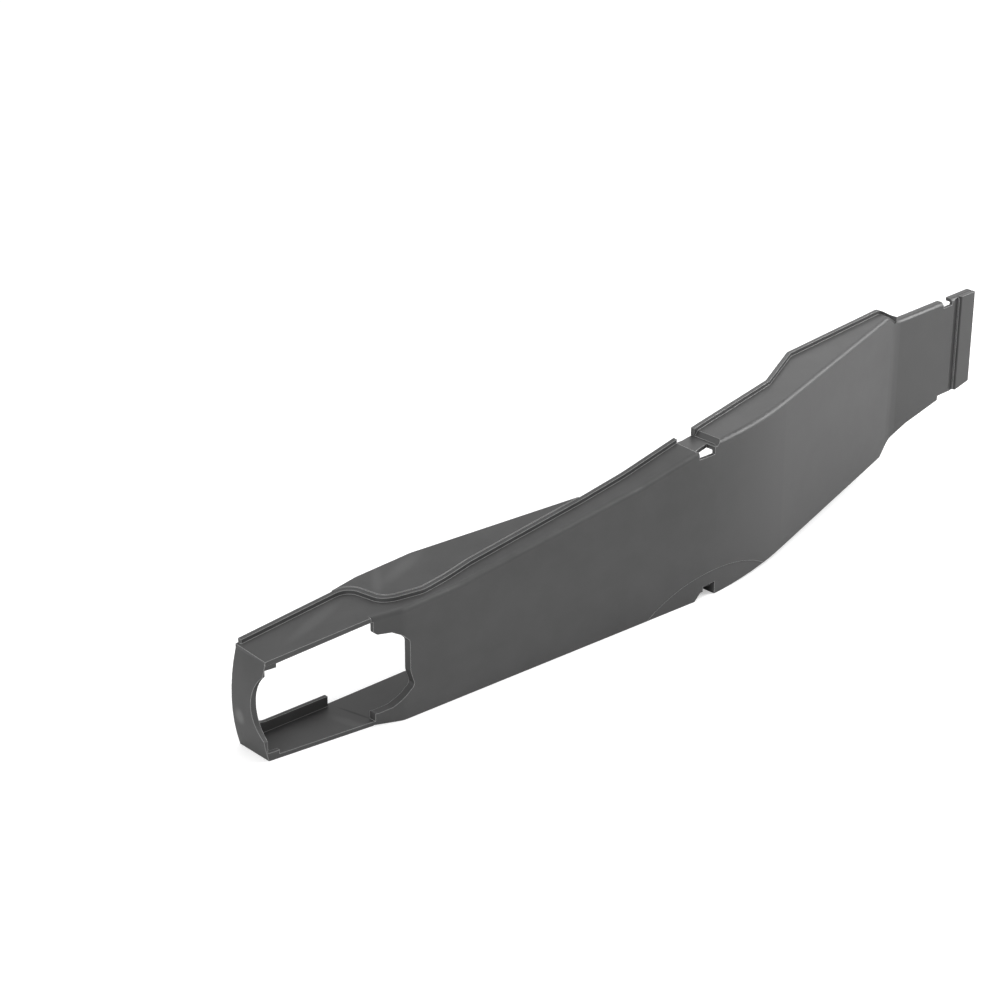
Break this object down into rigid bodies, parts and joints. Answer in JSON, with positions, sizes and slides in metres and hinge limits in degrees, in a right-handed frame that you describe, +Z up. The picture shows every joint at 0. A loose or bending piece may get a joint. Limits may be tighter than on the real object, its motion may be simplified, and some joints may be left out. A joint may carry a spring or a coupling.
{
  "type": "swingarm protector",
  "caption": "Thin moulded shell that covers the outer side of a motorcycle swingarm, with folded edges, a window at the axle end and strap grooves.",
  "frame": {"origin": "inner bottom corner of the axle end, on the ground", "axes": "+X along the arm from the axle end to the pivot end, the outer face looks towards -Y, +Z up"},
  "size_m": [0.5646, 0.062, 0.0976],
  "materials": {
    "moulded_plastic": "fine satin grain, dark grey"
  },
  "bodies": {
    "root": {"swingarm_guard": "moulded_plastic"}
  },
  "joints": []
}
